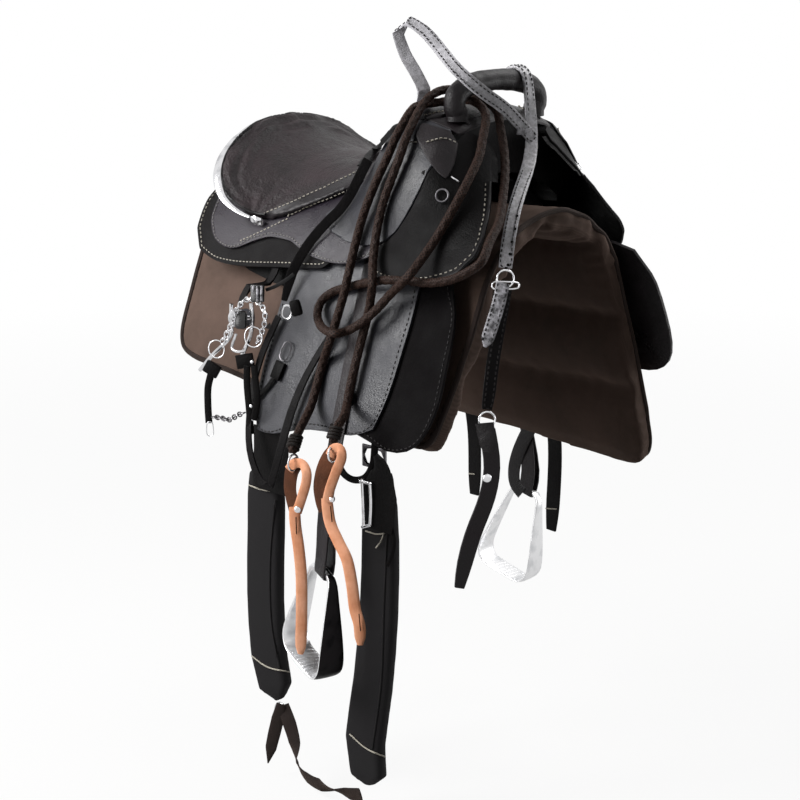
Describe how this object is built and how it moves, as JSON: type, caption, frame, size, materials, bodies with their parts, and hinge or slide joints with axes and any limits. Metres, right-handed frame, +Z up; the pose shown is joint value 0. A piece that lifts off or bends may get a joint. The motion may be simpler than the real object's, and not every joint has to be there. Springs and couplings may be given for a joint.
{
  "type": "australian stock saddle",
  "caption": "Stock saddle with dished seat, fork and grab handle on a thick pad, with girths, stirrups on leathers, a bit, cheek straps and a looped rope rein.",
  "frame": {"origin": "top of the pad's underside at mid length, where a rack or the horse's back carries the saddle", "axes": "+X to the horse's head, +Y to the horse's near (left) side, +Z up"},
  "size_m": [0.6266, 0.6195, 1.0811],
  "materials": {
    "brown_pad_cloth": "quilted matt cloth",
    "cream_wool_felt": "felt",
    "laminated_wood": "sealed",
    "dark_brown_seat_leather": "waxed, soft shine",
    "black_leather": "polished with stitched edges",
    "blue_grey_smooth_leather": "smooth, satin shine",
    "dull_black_leather": "matt",
    "bright_steel": "polished",
    "satin_aluminium": "satin",
    "black_padded_girth": "matt padded cloth",
    "dark_brown_webbing": "woven",
    "dark_brown_rope": "braided",
    "tan_leather": "waxed"
  },
  "bodies": {
    "saddle": {"saddle_pad": "brown_pad_cloth", "panel_off": "cream_wool_felt", "panel_near": "cream_wool_felt", "tree_bar_off": "laminated_wood", "tree_bar_near": "laminated_wood", "tree_head": "laminated_wood", "stirrup_bar_off": "bright_steel", "stirrup_bar_near": "bright_steel", "under_flap_off": "dull_black_leather", "under_flap_near": "dull_black_leather", "flap_off": "blue_grey_smooth_leather", "flap_near": "blue_grey_smooth_leather", "rear_skirt_off": "black_leather", "rear_skirt_near": "black_leather", "side_jockey_off": "black_leather", "side_jockey_near": "black_leather", "seat": "dark_brown_seat_leather", "cantle_band": "bright_steel", "stud_off": "bright_steel", "stud_near": "bright_steel", "fork_cover": "black_leather", "thigh_pad_off": "blue_grey_smooth_leather", "thigh_pad_near": "blue_grey_smooth_leather", "front_jockey_off": "black_leather", "front_jockey_near": "black_leather", "fork_tab_off": "black_leather", "fork_tab_near": "black_leather", "grab_handle": "black_leather", "billet_front": "black_leather", "billet_rear": "black_leather", "billet_near_front": "black_leather", "billet_near_rear": "black_leather", "cheek_strap": "black_leather", "near_cheek_strap": "black_leather", "browband": "black_leather", "long_strap": "black_leather", "hanging_loop_strap": "black_leather", "cheek_buckle": "bright_steel", "bit_hanger": "black_leather", "rein_rope": "dark_brown_rope"},
    "fork_ring": {"tab_ring_off": "bright_steel"},
    "off_stirrup_leather": {"stirrup_leather_off": "black_leather"},
    "off_stirrup_iron": {"stirrup_iron_off": "satin_aluminium"},
    "near_stirrup_leather": {"stirrup_leather_near": "black_leather"},
    "near_stirrup_iron": {"stirrup_iron_near": "satin_aluminium"},
    "front_girth": {"girth_front": "black_padded_girth", "girth_buckle_front": "bright_steel"},
    "rear_girth": {"girth_rear": "black_padded_girth", "girth_buckle_rear": "bright_steel", "girth_ring_rear": "bright_steel", "girth_connector": "dark_brown_webbing"},
    "cheek_drop": {"cheek_drop_strap": "black_leather", "slobber_ring_dark": "bright_steel"},
    "dark_slobber": {"slobber_strap_dark": "black_leather"},
    "hung_bit": {"bit": "bright_steel", "curb_chain": "bright_steel"},
    "front_slobber": {"rein_ring_front": "bright_steel", "slobber_strap_front": "tan_leather"},
    "rear_slobber": {"rein_ring_rear": "bright_steel", "slobber_strap_rear": "tan_leather"}
  },
  "joints": [
    {"name": "fork_ring_lift", "type": "hinge", "parent": "saddle", "child": "fork_ring", "pos_m": [0.205, -0.1395, 0.061], "axis": [-1, 0, 0], "range_deg": [0, 70]},
    {"name": "off_stirrup_swing", "type": "hinge", "parent": "saddle", "child": "off_stirrup_leather", "pos_m": [0.095, -0.1378, -0.01], "axis": [0, -0.8746, 0.4848], "range_deg": [-6, 6]},
    {"name": "off_iron_tilt", "type": "hinge", "parent": "off_stirrup_leather", "child": "off_stirrup_iron", "pos_m": [0.119, -0.278, -0.446], "axis": [0.9366, -0.2163, -0.2756], "range_deg": [-10, 8]},
    {"name": "near_stirrup_swing", "type": "hinge", "parent": "saddle", "child": "near_stirrup_leather", "pos_m": [-0.027, 0.1378, -0.01], "axis": [0, -0.8746, -0.4848], "range_deg": [-5, 6]},
    {"name": "near_iron_tilt", "type": "hinge", "parent": "near_stirrup_leather", "child": "near_stirrup_iron", "pos_m": [-0.001, 0.276, -0.468], "axis": [0.9589, 0.0671, -0.2756], "range_deg": [-20, 25]},
    {"name": "front_girth_swing", "type": "hinge", "parent": "saddle", "child": "front_girth", "pos_m": [0.163, -0.226, -0.2775], "axis": [0, -1, 0], "range_deg": [-12, 12]},
    {"name": "rear_girth_swing", "type": "hinge", "parent": "saddle", "child": "rear_girth", "pos_m": [-0.0578, -0.226, -0.3235], "axis": [0, -1, 0], "range_deg": [-12, 12]},
    {"name": "cheek_drop_swing", "type": "hinge", "parent": "saddle", "child": "cheek_drop", "pos_m": [0.3065, -0.1315, -0.0455], "axis": [0.2114, 0.9774, 0], "range_deg": [-20, 10]},
    {"name": "dark_slobber_swing", "type": "hinge", "parent": "cheek_drop", "child": "dark_slobber", "pos_m": [0.302, -0.1585, -0.238], "axis": [0.4327, 0.9015, 0], "range_deg": [-15, 30]},
    {"name": "bit_swing", "type": "hinge", "parent": "saddle", "child": "hung_bit", "pos_m": [-0.1063, -0.23, -0.1222], "axis": [0, -0.9397, 0.342], "range_deg": [-12, 12]},
    {"name": "front_slobber_swing", "type": "hinge", "parent": "saddle", "child": "front_slobber", "pos_m": [0.1745, -0.306, -0.2595], "axis": [0, 1, 0], "range_deg": [-20, 6]},
    {"name": "rear_slobber_swing", "type": "hinge", "parent": "saddle", "child": "rear_slobber", "pos_m": [0.0972, -0.31, -0.2845], "axis": [0, 1, 0], "range_deg": [-20, 15]}
  ],
  "couplings": [
    {"joint": "rear_girth_swing", "follows": "front_girth_swing", "ratio": 1}
  ]
}
